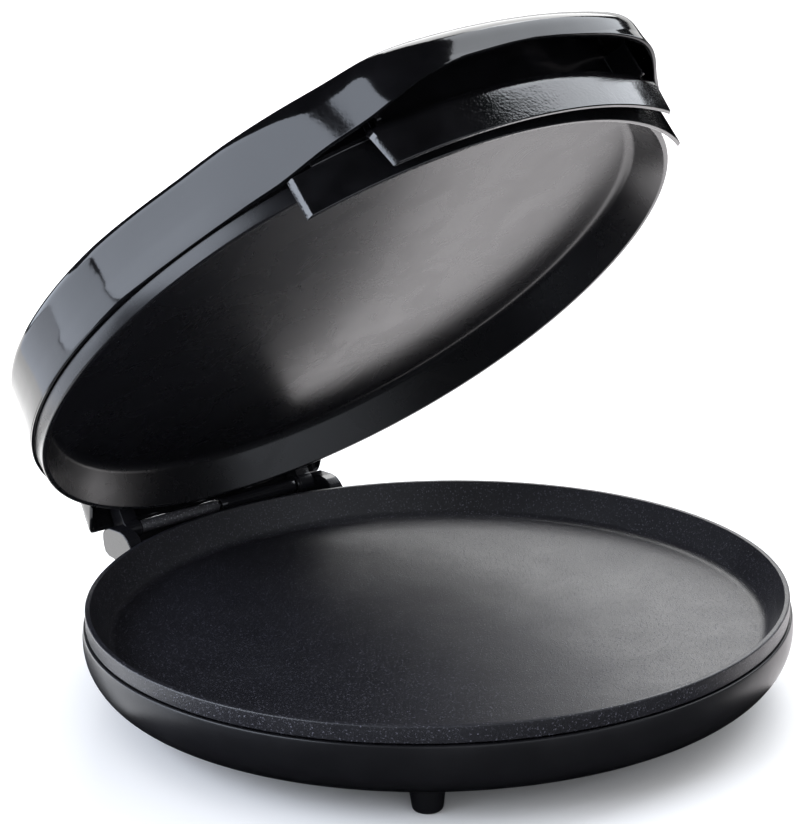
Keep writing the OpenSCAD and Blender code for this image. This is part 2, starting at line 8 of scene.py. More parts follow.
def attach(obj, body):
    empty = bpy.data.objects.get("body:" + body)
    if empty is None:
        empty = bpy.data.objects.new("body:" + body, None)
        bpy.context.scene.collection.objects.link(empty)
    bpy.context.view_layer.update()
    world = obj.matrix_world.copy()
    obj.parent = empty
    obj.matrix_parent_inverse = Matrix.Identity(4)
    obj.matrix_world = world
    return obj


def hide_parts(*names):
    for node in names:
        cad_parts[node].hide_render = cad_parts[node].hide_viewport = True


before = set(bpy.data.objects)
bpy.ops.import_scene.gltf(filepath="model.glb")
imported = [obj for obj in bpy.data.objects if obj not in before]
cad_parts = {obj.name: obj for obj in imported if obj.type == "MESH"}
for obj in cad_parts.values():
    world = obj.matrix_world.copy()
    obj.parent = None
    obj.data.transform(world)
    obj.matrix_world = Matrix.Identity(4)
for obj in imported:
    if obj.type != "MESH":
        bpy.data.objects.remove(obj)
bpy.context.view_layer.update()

sin, cos, tan, pi, rad = math.sin, math.cos, math.tan, math.pi, math.radians

# ---------------------------------------------------------------- frame facts (millimetres, as in the CAD)
TH = rad(43.8)                   # lid above its closed position at rest
HY, HZ = 169.0, 46.0             # hinge axis
RIM = 47.0                       # rim plane of the lower plate
LZ = 47.4                        # rim plane of the lid when closed
CS, SN = cos(TH), sin(TH)


def lid_pose(P):
    """closed-lid points (z from the lid's own rim plane) to the rest pose"""
    P = np.array(P, float).reshape(-1, 3)
    y, z = P[:, 1] - HY, P[:, 2] + LZ - HZ
    return np.stack([P[:, 0], HY + y * CS + z * SN, HZ - y * SN + z * CS], -1)


# ---------------------------------------------------------------- mesh helpers
def make(name, verts, faces, mat, body, slot, lid=False, sharp=38.0, bevel=0.0, seg=2, limit=32.0):
    V = lid_pose(verts) if lid else np.array(verts, float).reshape(-1, 3)
    me = bpy.data.meshes.new(name)
    me.from_pydata((V / 1000.0).tolist(), [], [list(f) for f in faces])
    me.validate()
    bm = bmesh.new()
    bm.from_mesh(me)
    bmesh.ops.remove_doubles(bm, verts=bm.verts, dist=1e-7)
    bmesh.ops.dissolve_degenerate(bm, edges=bm.edges, dist=1e-7)
    bmesh.ops.recalc_face_normals(bm, faces=bm.faces)
    bm.to_mesh(me)
    bm.free()
    for p in me.polygons:
        p.use_smooth = True
    me.set_sharp_from_angle(angle=rad(sharp))
    me.materials.append(mat)
    ob = bpy.data.objects.new(name, me)
    bpy.context.scene.collection.objects.link(ob)
    if bevel > 0:
        b = ob.modifiers.new("edge", "BEVEL")
        b.width = bevel / 1000.0
        b.segments = seg
        b.limit_method = "ANGLE"
        b.angle_limit = rad(limit)
        b.harden_normals = False
        b.use_clamp_overlap = True
    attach(ob, body)
    return ob


def fillet(pts, radii, seg=5, loop=False):
    """rounds the corners of a 2D line; radii is one number or one per point"""
    n = len(pts)
    if not isinstance(radii, (list, tuple)):
        radii = [radii] * n
    out = []
    for i, p in enumerate(pts):
        r = radii[i]
        if r <= 0 or (not loop and i in (0, n - 1)):
            out.append(tuple(p))
            continue
        P = np.array(p, float)
        A = np.array(pts[(i - 1) % n], float) - P
        B = np.array(pts[(i + 1) % n], float) - P
        la, lb = np.linalg.norm(A), np.linalg.norm(B)
        ua, ub = A / la, B / lb
        c = float(np.clip(ua @ ub, -1, 1))
        ang = math.acos(c)
        if ang > pi - 0.02:
            out.append(tuple(p))
            continue
        d = min(r / tan(ang / 2), 0.48 * la, 0.48 * lb)
        r2 = d * tan(ang / 2)
        bis = (ua + ub) / np.linalg.norm(ua + ub)
        C = P + bis * (r2 / sin(ang / 2))
        S, E = P + ua * d, P + ub * d
        a0 = math.atan2(*(S - C)[::-1])
        a1 = math.atan2(*(E - C)[::-1])
        da = (a1 - a0 + pi) % (2 * pi) - pi
        for k in range(seg + 1):
            t = a0 + da * k / seg
            out.append((C[0] + r2 * cos(t), C[1] + r2 * sin(t)))
    return out


def spaced(pts, step, loop=False):
    """adds points on long straight stretches"""
    out = []
    n = len(pts)
    for i in range(n if loop else n - 1):
        a, b = np.array(pts[i], float), np.array(pts[(i + 1) % n], float)
        k = max(1, int(np.linalg.norm(b - a) // step))
        out += [tuple(a + (b - a) * j / k) for j in range(k)]
    if not loop:
        out.append(tuple(pts[-1]))
    return out


def revolve(prof, n=288, loop=False, centre=(0, 0), off=0):
    """turns a profile of (r, z) about the vertical axis through centre"""
    V, rings = [], []
    for r, z in prof:
        if r < 1e-6:
            rings.append([off + len(V)])
            V.append((centre[0], centre[1], z))
        else:
            rings.append([off + len(V) + k for k in range(n)])
            V += [(centre[0] + r * sin(2 * pi * k / n), centre[1] - r * cos(2 * pi * k / n), z) for k in range(n)]
    F = []
    m = len(rings)
    for i in range(m if loop else m - 1):
        A, B = rings[i], rings[(i + 1) % m]
        for k in range(n):
            k2 = (k + 1) % n
            if len(A) == 1 and len(B) == 1:
                continue
            if len(A) == 1:
                F.append((A[0], B[k], B[k2]))
            elif len(B) == 1:
                F.append((A[k], B[0], A[k2]))
            else:
                F.append((A[k], B[k], B[k2], A[k2]))
    return V, F


def join(parts):
    V, F = [], []
    for v, f in parts:
        o = len(V)
        V += [tuple(p) for p in v]
        F += [tuple(i + o for i in q) for q in f]
    return V, F


def sector(section, a0, a1, n=120):
    """closed (r, z) section carried round the axis from angle a0 to a1 (degrees from the front), with end faces"""
    V, F = [], []
    m = len(section)
    for i in range(n + 1):
        a = rad(a0 + (a1 - a0) * i / n)
        V += [(r * sin(a), -r * cos(a), z) for r, z in section]
    for i in range(n):
        for k in range(m):
            k2 = (k + 1) % m
            F.append((i * m + k, (i + 1) * m + k, (i + 1) * m + k2, i * m + k2))
    F.append(tuple(range(m)))
    F.append(tuple(n * m + k for k in range(m)))
    return V, F


def prism(outline, x0, x1):
    """outline in (y, z) carried along X"""
    m = len(outline)
    V = [(x0, y, z) for y, z in outline] + [(x1, y, z) for y, z in outline]
    F = [(k, (k + 1) % m, m + (k + 1) % m, m + k) for k in range(m)]
    F += [tuple(range(m)), tuple(range(m, 2 * m))]
    return V, F


def tube_x(y, z, prof, n=48):
    """turns a closed (x, r) profile about an axis along X"""
    V, F = [], []
    m = len(prof)
    for k in range(n):
        t = 2 * pi * k / n
        V += [(x, y + r * cos(t), z + r * sin(t)) for x, r in prof]
    for k in range(n):
        k2 = (k + 1) % n
        for i in range(m):
            i2 = (i + 1) % m
            F.append((k * m + i, k2 * m + i, k2 * m + i2, k * m + i2))
    return V, F


def box3(lo, hi):
    V = [(x, y, z) for x in (lo[0], hi[0]) for y in (lo[1], hi[1]) for z in (lo[2], hi[2])]
    F = [(0, 1, 3, 2), (4, 6, 7, 5), (0, 4, 5, 1), (2, 3, 7, 6), (0, 2, 6, 4), (1, 5, 7, 3)]
    return V, F


# ---------------------------------------------------------------- materials
def nodes_of(name):
    m = bpy.data.materials.new(name)
    m.use_nodes = True
    nt = m.node_tree
    b = nt.nodes["Principled BSDF"]
    tc = nt.nodes.new("ShaderNodeTexCoord")
    return m, nt, b, tc


def noise(nt, tc, scale, detail=3.0, rough=0.5, dist=0.0, stretch=None):
    n = nt.nodes.new("ShaderNodeTexNoise")
    n.inputs["Scale"].default_value = scale
    n.inputs["Detail"].default_value = detail
    n.inputs["Roughness"].default_value = rough
    n.inputs["Distortion"].default_value = dist
    if stretch:
        mp = nt.nodes.new("ShaderNodeMapping")
        mp.inputs["Scale"].default_value = stretch
        nt.links.new(tc.outputs["Object"], mp.inputs["Vector"])
        nt.links.new(mp.outputs["Vector"], n.inputs["Vector"])
    else:
        nt.links.new(tc.outputs["Object"], n.inputs["Vector"])
    return n


def ramp(nt, src, lo, hi, a, b):
    r = nt.nodes.new("ShaderNodeMapRange")
    r.inputs["From Min"].default_value = lo
    r.inputs["From Max"].default_value = hi
    r.inputs["To Min"].default_value = a
    r.inputs["To Max"].default_value = b
    nt.links.new(src, r.inputs["Value"])
    return r.outputs["Result"]


def mixcol(nt, fac, c1, c2):
    m = nt.nodes.new("ShaderNodeMix")
    m.data_type = "RGBA"
    if hasattr(fac, "is_output"):
        nt.links.new(fac, m.inputs["Factor"])
    else:
        m.inputs["Factor"].default_value = fac
    for c, s in ((c1, "A"), (c2, "B")):
        if hasattr(c, "is_output"):
            nt.links.new(c, m.inputs[s])
        else:
            m.inputs[s].default_value = (*c, 1) if len(c) == 3 else c
    # the colour sockets are the last pair named A and B
    return m


def colmix(nt, fac, c1, c2):
    m = nt.nodes.new("ShaderNodeMix")
    m.data_type = "RGBA"
    ins = [s for s in m.inputs if s.type == "RGBA"]
    nt.links.new(fac, [s for s in m.inputs if s.name == "Factor" and s.type == "VALUE"][0])
    for c, s in ((c1, ins[0]), (c2, ins[1])):
        if hasattr(c, "is_output"):
            nt.links.new(c, s)
        else:
            s.default_value = (*c, 1)
    return [o for o in m.outputs if o.type == "RGBA"][0]


def math2(nt, op, a, b):
    m = nt.nodes.new("ShaderNodeMath")
    m.operation = op
    for v, s in ((a, m.inputs[0]), (b, m.inputs[1])):
        if hasattr(v, "is_output"):
            nt.links.new(v, s)
        else:
            s.default_value = v
    return m.outputs[0]


def bump(nt, b, h, strength, dist):
    n = nt.nodes.new("ShaderNodeBump")
    n.inputs["Strength"].default_value = strength
    n.inputs["Distance"].default_value = dist
    nt.links.new(h, n.inputs["Height"])
    nt.links.new(n.outputs["Normal"], b.inputs["Normal"])
    return n


def edge_wear(nt, width=0.0008):
    """how much the true surface turns within width, for light wear on edges"""
    g = nt.nodes.new("ShaderNodeNewGeometry")
    v = nt.nodes.new("ShaderNodeBevel")
    v.samples = 4
    v.inputs["Radius"].default_value = width
    d = nt.nodes.new("ShaderNodeVectorMath")
    d.operation = "DOT_PRODUCT"
    nt.links.new(g.outputs["Normal"], d.inputs[0])
    nt.links.new(v.outputs["Normal"], d.inputs[1])
    return ramp(nt, d.outputs["Value"], 0.985, 0.90, 0.0, 1.0)


def mat_gloss():
    """high gloss black moulding: orange peel, faint haze, dust specks"""
    m, nt, b, tc = nodes_of("gloss_black")
    big = noise(nt, tc, 26.0, 2.0)
    peel = noise(nt, tc, 430.0, 2.0, 0.55)
    haze = noise(nt, tc, 60.0, 5.0, 0.6)
    dust = nt.nodes.new("ShaderNodeTexVoronoi")
    dust.inputs["Scale"].default_value = 170.0
    nt.links.new(tc.outputs["Object"], dust.inputs["Vector"])
    spots = ramp(nt, dust.outputs["Distance"], 0.035, 0.02, 0.0, 1.0)
    gate = ramp(nt, noise(nt, tc, 90.0, 1.0).outputs["Fac"], 0.62, 0.68, 0.0, 1.0)
    spots = math2(nt, "MULTIPLY", spots, gate)
    col = colmix(nt, ramp(nt, haze.outputs["Fac"], 0.35, 0.75, 0.0, 1.0), (0.0022, 0.0022, 0.0026), (0.0042, 0.0042, 0.0050))
    col2 = colmix(nt, spots, col, (0.09, 0.09, 0.095))
    nt.links.new(col2, b.inputs["Base Color"])
    r1 = ramp(nt, haze.outputs["Fac"], 0.3, 0.75, 0.055, 0.11)
    nt.links.new(math2(nt, "ADD", r1, math2(nt, "MULTIPLY", spots, 0.3)), b.inputs["Roughness"])
    b.inputs["IOR"].default_value = 1.46
    h = math2(nt, "ADD", math2(nt, "MULTIPLY", big.outputs["Fac"], 2.2), math2(nt, "MULTIPLY", peel.outputs["Fac"], 0.10))
    bump(nt, b, h, 0.35, 0.0004)
    return m


def mat_guard():
    """glossy black with a fine moulded pebble that breaks up reflections"""
    m, nt, b, tc = nodes_of("gloss_pebble")
    big = noise(nt, tc, 30.0, 2.0)
    peb = noise(nt, tc, 900.0, 2.0, 0.5)
    mask = noise(nt, tc, 22.0, 3.0, 0.6)
    haze = noise(nt, tc, 70.0, 5.0, 0.6)
    col = colmix(nt, ramp(nt, haze.outputs["Fac"], 0.35, 0.75, 0.0, 1.0), (0.0024, 0.0024, 0.0028), (0.005, 0.005, 0.006))
    wear = edge_wear(nt)
    col2 = colmix(nt, math2(nt, "MULTIPLY", wear, 0.5), col, (0.05, 0.05, 0.055))
    nt.links.new(col2, b.inputs["Base Color"])
    nt.links.new(ramp(nt, haze.outputs["Fac"], 0.3, 0.75, 0.10, 0.19), b.inputs["Roughness"])
    b.inputs["IOR"].default_value = 1.7
    amp = ramp(nt, mask.outputs["Fac"], 0.42, 0.62, 0.12, 1.0)
    h = math2(nt, "ADD", math2(nt, "MULTIPLY", big.outputs["Fac"], 2.0),
              math2(nt, "MULTIPLY", math2(nt, "MULTIPLY", peb.outputs["Fac"], amp), 0.85))
    bump(nt, b, h, 0.45, 0.0004)
    return m


def mat_satin(name="satin_black", c0=(0.0045, 0.0045, 0.0057), c1=(0.0085, 0.0085, 0.0105), r0=0.30, r1=0.42, grain=0.35):
    """satin black moulded casing with a fine spark texture"""
    m, nt, b, tc = nodes_of(name)
    fine = noise(nt, tc, 1100.0, 2.0, 0.6)
    mid = noise(nt, tc, 140.0, 4.0, 0.6)
    cloud = noise(nt, tc, 18.0, 4.0, 0.6)
    scr = noise(nt, tc, 55.0, 6.0, 0.7, 0.4, (1.0, 1.0, 14.0))
    col = colmix(nt, ramp(nt, cloud.outputs["Fac"], 0.3, 0.7, 0.0, 1.0), c0, c1)
    wear = edge_wear(nt)
    rub = math2(nt, "MULTIPLY", wear, ramp(nt, mid.outputs["Fac"], 0.4, 0.62, 0.25, 1.0))
    col2 = colmix(nt, math2(nt, "MULTIPLY", rub, 0.5), col, (0.05, 0.05, 0.054))
    nt.links.new(col2, b.inputs["Base Color"])
    rr = ramp(nt, cloud.outputs["Fac"], 0.3, 0.7, r0, r1)
    rr = math2(nt, "ADD", rr, ramp(nt, scr.outputs["Fac"], 0.62, 0.72, 0.0, 0.06))
    nt.links.new(rr, b.inputs["Roughness"])
    b.inputs["IOR"].default_value = 1.5
    h = math2(nt, "ADD", math2(nt, "MULTIPLY", fine.outputs["Fac"], grain), math2(nt, "MULTIPLY", mid.outputs["Fac"], 0.4))
    bump(nt, b, h, 0.35, 0.00025)
    return m


def mat_coat(name, c_lo, c_hi, r_lo, r_hi, grain, speck=0.5, ior=1.6):
    """non-stick coating on cast metal: charcoal with fine pale granules"""
    m, nt, b, tc = nodes_of(name)
    g1 = noise(nt, tc, 1500.0, 2.0, 0.65)
    g2 = nt.nodes.new("ShaderNodeTexVoronoi")
    g2.inputs["Scale"].default_value = 800.0
    nt.links.new(tc.outputs["Object"], g2.inputs["Vector"])
    cloud = noise(nt, tc, 14.0, 5.0, 0.6)
    smear = noise(nt, tc, 38.0, 5.0, 0.65, 0.6)
    base = colmix(nt, ramp(nt, cloud.outputs["Fac"], 0.3, 0.7, 0.0, 1.0), c_lo, c_hi)
    gran = math2(nt, "MULTIPLY", ramp(nt, g2.outputs["Distance"], 0.46, 0.20, 0.0, 1.0),
                 ramp(nt, g1.outputs["Fac"], 0.50, 0.62, 0.0, 1.0))
    col = colmix(nt, math2(nt, "MULTIPLY", gran, speck), base, tuple(min(1.0, 7.5 * c) for c in c_hi))
    wear = edge_wear(nt, 0.0006)
    rub = math2(nt, "MULTIPLY", wear, ramp(nt, smear.outputs["Fac"], 0.42, 0.6, 0.3, 1.0))
    col2 = colmix(nt, math2(nt, "MULTIPLY", rub, 0.6), col, (0.16, 0.16, 0.17))
    nt.links.new(col2, b.inputs["Base Color"])
    rr = ramp(nt, smear.outputs["Fac"], 0.3, 0.72, r_lo, r_hi)
    nt.links.new(math2(nt, "ADD", rr, math2(nt, "MULTIPLY", gran, -0.08 * speck)), b.inputs["Roughness"])
    b.inputs["IOR"].default_value = ior
    h = math2(nt, "ADD", math2(nt, "MULTIPLY", g1.outputs["Fac"], 0.6), math2(nt, "MULTIPLY", gran, 0.5 if speck > 0.5 else 0.0))
    bump(nt, b, h, grain, 0.0002)
    return m


def mat_metal(name, color, rough, scratch=(1, 1, 1), tint=None):
    m, nt, b, tc = nodes_of(name)
    fine = noise(nt, tc, 500.0, 4.0, 0.6, 0.0, scratch)
    cloud = noise(nt, tc, 60.0, 4.0, 0.6)
    c2 = tint or tuple(0.75 * c for c in color)
    col = colmix(nt, ramp(nt, cloud.outputs["Fac"], 0.3, 0.7, 0.0, 1.0), color, c2)
    nt.links.new(col, b.inputs["Base Color"])
    b.inputs["Metallic"].default_value = 1.0
    nt.links.new(ramp(nt, fine.outputs["Fac"], 0.3, 0.7, rough * 0.8, rough * 1.3), b.inputs["Roughness"])
    bump(nt, b, fine.outputs["Fac"], 0.15, 0.0001)
    return m


def mat_plain(name, c0, c1, r0, r1, scale=80.0, bmp=0.2, **kw):
    m, nt, b, tc = nodes_of(name)
    cloud = noise(nt, tc, scale, 4.0, 0.6)
    fine = noise(nt, tc, scale * 9, 3.0, 0.6)
    col = colmix(nt, ramp(nt, cloud.outputs["Fac"], 0.3, 0.7, 0.0, 1.0), c0, c1)
    nt.links.new(col, b.inputs["Base Color"])
    nt.links.new(ramp(nt, cloud.outputs["Fac"], 0.3, 0.7, r0, r1), b.inputs["Roughness"])
    for k, v in kw.items():
        b.inputs[k.replace("_", " ")].default_value = v
    bump(nt, b, fine.outputs["Fac"], bmp, 0.0002)
    return m


M_GLOSS = mat_gloss()
M_GUARD = mat_guard()
M_SATIN = mat_satin()
M_HINGE = mat_satin("hinge_black", (0.004, 0.004, 0.005), (0.008, 0.008, 0.010), 0.12, 0.24, 0.3)
M_SLEEVE = mat_coat("sleeve_grain", (0.020, 0.020, 0.023), (0.034, 0.034, 0.039), 0.30, 0.42, 0.9, 1.0)
M_LOWER = mat_coat("coat_lower", (0.0085, 0.0085, 0.0115), (0.0140, 0.0140, 0.0185), 0.36, 0.48, 0.85, 0.75)
M_UPPER = mat_coat("coat_upper", (0.0035, 0.0035, 0.0045), (0.006, 0.006, 0.0075), 0.24, 0.31, 0.03, 0.0, 1.5)
M_STEEL = mat_metal("zinc_steel", (0.60, 0.60, 0.62), 0.28)
M_DARK = mat_metal("black_oxide", (0.06, 0.06, 0.065), 0.32, (1, 8, 8))
M_ALU = mat_metal("sheet_aluminium", (0.80, 0.80, 0.82), 0.30, (1, 12, 1))
M_ELEM = mat_metal("element_sheath", (0.34, 0.29, 0.24), 0.38, (1, 1, 1), (0.20, 0.17, 0.19))
M_CERAM = mat_plain("cream_insulator", (0.72, 0.66, 0.54), (0.80, 0.75, 0.64), 0.25, 0.40)
M_WIRE = mat_plain("red_sleeving", (0.42, 0.05, 0.035), (0.52, 0.075, 0.05), 0.45, 0.60)
M_BOARD = mat_plain("board_green", (0.02, 0.13, 0.06), (0.03, 0.17, 0.08), 0.35, 0.50)
M_PAD = mat_plain("pad_rubber", (0.014, 0.014, 0.015), (0.024, 0.024, 0.026), 0.70, 0.85, 200.0, 0.5)
M_LENS = mat_plain("lens_red", (0.30, 0.008, 0.006), (0.40, 0.014, 0.010), 0.06, 0.12, 120.0, 0.05, IOR=1.49, Coat_Weight=0.4)

# ---------------------------------------------------------------- lower plate
def plate_profile(depth, sgn, z0, inner_r=157.6, rim_r=160.0, floor_r=149.5):
    """closed half section of a dish; z runs from the rim plane into the plate, sgn -1 for down"""
    pts = [(0, depth), (floor_r, depth), (inner_r, 0), (rim_r, 0), (rim_r, 7.6), (155.8, 7.6), (153.4, depth + 0.7),
           (151.0, depth + 2.2), (0, depth + 2.2)]
    rr = [0, 5.5, 0.55, 0.8, 0.5, 0.5, 1.5, 1.2, 0]
    p = fillet(pts, rr, 6)
    p = spaced(p, 14.0)
    return [(r, z0 + sgn * z) for r, z in p]


V, F = revolve(plate_profile(16.0, -1, RIM), 360)
studs = []
for px, py in ((0, 70), (70, 0), (0, -70), (-70, 0)):
    s = fillet([(2.05, 24.05), (5.0, 24.05), (5.0, 30.2), (2.05, 30.2)], [0.2, 0.4, 0, 0], 3, True)
    studs.append(revolve(s, 32, True, (px, py)))
lower = make("plate_lower", *join([(V, F)] + studs), M_LOWER, "base", "coated_plate")
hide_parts("lower_plate")

# ---------------------------------------------------------------- upper plate
V, F = revolve(plate_profile(18.0, 1, 0.0), 360)
studs = []
for k in range(6):
    a = rad(k * 60 + 30)
    s = fillet([(1.55, 20.1), (4.4, 20.1), (4.4, 20.24), (1.55, 20.24)], 0, 3, True)
    studs.append(revolve(s, 32, True, (145 * cos(a), 145 * sin(a))))
upper = make("plate_upper", *join([(V, F)] + studs), M_UPPER, "lid", "coated_plate", lid=True)
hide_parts("upper_plate")

# ---------------------------------------------------------------- base casing
side = [(0, 12.5), (140, 12.5), (147.0, 12.6), (152.2, 14.6), (156.5, 18.2), (159.4, 22.6), (161.1, 27.0), (161.75, 31.5),
        (161.75, 35.5), (161.0, 38.8)]


def smooth_line(pts, step=1.2, sigma=2.2):
    """resamples a line evenly and rounds it a little, keeping the ends"""
    P = np.array(pts, float)
    d = np.r_[0, np.cumsum(np.linalg.norm(np.diff(P, axis=0), axis=1))]
    n = max(8, int(d[-1] / step))
    t = np.linspace(0, d[-1], n + 1)
    Q = np.stack([np.interp(t, d, P[:, i]) for i in range(P.shape[1])], -1)
    w = int(sigma * 3 / step) + 1
    k = np.exp(-0.5 * (np.arange(-w, w + 1) * step / sigma) ** 2)
    k /= k.sum()
    A = np.vstack([2 * Q[0] - Q[1:w + 1][::-1], Q, 2 * Q[-1] - Q[-w - 1:-1][::-1]])
    S = np.stack([np.convolve(A[:, i], k, "valid") for i in range(P.shape[1])], -1)
    return [tuple(p) for p in S]


outer = [(0, 12.5), (60, 12.5), (110, 12.5)] + smooth_line(side[1:], 1.3, 2.2)
outer = outer[:-1] + fillet([outer[-2], (161.0, 38.8), (159.6, 38.8), (158.9, 36.0)], [0, 0.7, 0.5, 0], 4)[1:-1]
inner = [(159.0, 34.5), (158.9, 30.0), (157.3, 25.5), (151.9, 18.4), (144.9, 15.0), (100, 15.0), (0, 15.0)]
casing_parts = []
# posts, sockets
for px, py in ((0, 70), (70, 0), (0, -70), (-70, 0)):
    casing_parts.append(revolve(fillet([(2.3, 14.6), (8.0, 14.6), (8.0, 19.0), (5.4, 19.0), (5.4, 23.9), (2.3, 23.9)], [0, 0, .4, .2, .4, .2], 3, True), 40, True, (px, py)))
posts = make("casing_posts", *join(casing_parts), M_SATIN, "base", "casing_black")
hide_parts("base_housing")
casing = make("casing", *revolve(outer + inner, 360), M_SATIN, "base", "casing_black")


def cut(ob, V, F):
    """takes the closed shape away from ob and keeps the result as its mesh"""
    me = bpy.data.meshes.new("cutter")
    me.from_pydata((np.array(V, float) / 1000).tolist(), [], [list(f) for f in F])
    bm = bmesh.new(); bm.from_mesh(me); bmesh.ops.recalc_face_normals(bm, faces=bm.faces); bm.to_mesh(me); bm.free()
    c = bpy.data.objects.new("cutter", me)
    bpy.context.scene.collection.objects.link(c)
    b = ob.modifiers.new("cut", "BOOLEAN")
    b.operation = "DIFFERENCE"
    b.solver = "EXACT"
    b.object = c
    dg = bpy.context.evaluated_depsgraph_get()
    new = bpy.data.meshes.new_from_object(ob.evaluated_get(dg), preserve_all_data_layers=True, depsgraph=dg)
    old = ob.data
    ob.modifiers.remove(b)
    new.name = old.name
    ob.data = new
    for p in new.polygons:
        p.use_smooth = True
    new.set_sharp_from_angle(angle=rad(38))
    bpy.data.objects.remove(c)
    bpy.data.meshes.remove(me)


def rod(x, y, z0, z1, r, n=32):
    return revolve([(0, z0), (r, z0), (r, z1), (0, z1)], n, False, (x, y))


cuts = []
for s in (-1, 1):                       # vent slots with round ends
    for i in range(-3, 4):
        cx, cy, hl, hw = s * 35.0, i * 9.0, 14.0, 1.75
        out = []
        for k in range(9):
            t = -pi / 2 + pi * k / 8
            out.append((cx + hl - hw + hw * cos(t), cy + hw * sin(t)))
        for k in range(9):
            t = pi / 2 + pi * k / 8
            out.append((cx - hl + hw + hw * cos(t), cy + hw * sin(t)))
        m = len(out)
        cuts.append(([(x, y, 11.0) for x, y in out] + [(x, y, 16.5) for x, y in out],
                     [(k, (k + 1) % m, m + (k + 1) % m, m + k) for k in range(m)] + [tuple(range(m))[::-1], tuple(range(m, 2 * m))]))
for px, py in ((0, 70), (70, 0), (0, -70), (-70, 0)):
    cuts.append(revolve([(0, 11.0), (4.3, 11.0), (4.3, 15.7), (2.2, 15.7), (2.2, 16.4), (0, 16.4)], 32, False, (px, py)))
gx = [(0, 150.0), (5.6, 150.0), (5.6, 172.0), (0, 172.0)]
gv, gf = revolve(gx, 40)
gv = [(x, z, 22.0 + y) for x, y, z in gv]
cuts.append((gv, gf))
cut(casing, *join(cuts))
# rear shelf between the ears, and the boss round the cord gland
back = []
R_IN = 160.6
xs = np.linspace(-57.5, 57.5, 47)
top, bot = 38.1, 34.4


def y_back(x):
    return 173.0


Vs, Fs = [], []
for x in xs:
    y0, y1 = math.sqrt(R_IN ** 2 - x * x), y_back(x)
    Vs += [(x, y0, bot), (x, y1 - 0.5, bot), (x, y1, bot + 0.5), (x, y1, top - 0.5), (x, y1 - 0.5, top), (x, y0, top)]
for i in range(len(xs) - 1):
    for k in range(6):
        k2 = (k + 1) % 6
        Fs.append((i * 6 + k, i * 6 + 6 + k, i * 6 + 6 + k2, i * 6 + k2))
Fs += [tuple(range(6)), tuple((len(xs) - 1) * 6 + k for k in range(6))]
bv, bf = revolve(fillet([(5.65, 157.0), (9.0, 157.0), (9.0, 163.5), (5.65, 163.5)], [0, 0, 0.6, 0.3], 4, True), 56, True)
bv = [(x, z, 22.0 + y) for x, y, z in bv]
lip = prism(fillet([(171.0, 34.7), (173.6, 34.7), (173.6, 42.4), (171.0, 42.4)], [0, 0.6, 0.7, 0.7], 4, True), -47.8, 47.8)
side_lips = [prism(fillet([(170.8, 34.7), (173.2, 34.7), (173.2, 40.6), (172.7, 40.6), (170.8, 38.0)], [0, 0.6, 0.2, 0.2, 0.4], 4, True), *sorted((s * 47.2, s * 58.4)))
             for s in (-1, 1)]
tabs = [prism([(172.8, 38.0), (173.5, 38.0), (173.5, 43.4), (172.8, 43.4)], *sorted((s * 43.0, s * 47.9))) for s in (-1, 1)]
rear = make("casing_rear", *join([(Vs, Fs), (bv, bf), lip] + side_lips + tabs), M_SATIN, "base", "casing_black")
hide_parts("base_housing")
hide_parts("base_housing")

# ---------------------------------------------------------------- feet
fp = []
foot_prof = fillet([(3.6, 0.0), (6.35, 0.0), (8.2, 12.6), (1.75, 12.6), (1.75, 9.4), (3.1, 9.4), (3.1, 1.5), (3.6, 1.5)],
                   [0.2, 2.6, 0, 0, 0, 0, 0, 0], 6, True)
for x, y in ((92, 100), (-92, 100), (92, -100), (-92, -100)):
    fp.append(revolve(foot_prof, 56, True, (x, y)))
feet = make("foot_stubs", *join(fp), M_SATIN, "base", "casing_black")
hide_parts("feet")

# ---------------------------------------------------------------- hinge
EX0, EX1 = 58.6, 66.3
hinge_parts = []
for s in (-1, 1):
    line = [(149.8, 39.6), (149.8, 44.6), (152.1, 47.4), (155.4, 49.7), (159.0, 50.5), (168.4, 50.2), (171.5, 48.9), (173.6, 46.6), (174.0, 44.0),
            (173.5, 40.0), (172.2, 36.8), (169.4, 35.2), (164.5, 34.8), (161.0, 30.0), (159.5, 24.5), (148.5, 24.5), (148.5, 39.6)]
    line = fillet(line, [0, 0.8, 1.4, 2.0, 1.6, 2.2, 2.0, 1.6, 1.6, 2.2, 2.0, 2.2, 2.0, 2.5, 0.8, 0, 0], 4, True)
    x0, x1 = sorted((s * EX0, s * EX1))
    hinge_parts.append(prism(line, x0, x1))
ears = make("hinge_brackets", *join(hinge_parts), M_HINGE, "base", "casing_black", bevel=0.7, seg=3)
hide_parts("hinge_ears")


def sleeve(x0, x1, r):
    c = 0.45
    return tube_x(HY, HZ, [(x0, 2.25), (x0, r - c), (x0 + c * .3, r - c * .3), (x0 + c, r)] + [(x0 + c + (x1 - x0 - 2 * c) * k / 12, r) for k in range(1, 12)] +
                  [(x1 - c, r), (x1 - c * .3, r - c * .3), (x1, r - c), (x1, 2.25)], 56)


sl = make("spacer_left", *sleeve(-47.6, -0.7, 3.1), M_SLEEVE, "base", "dark_steel")
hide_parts("sleeve_left")
sr = make("spacer_right", *sleeve(0.7, 47.6, 3.7), M_HINGE, "base", "casing_black")
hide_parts("sleeve_right")

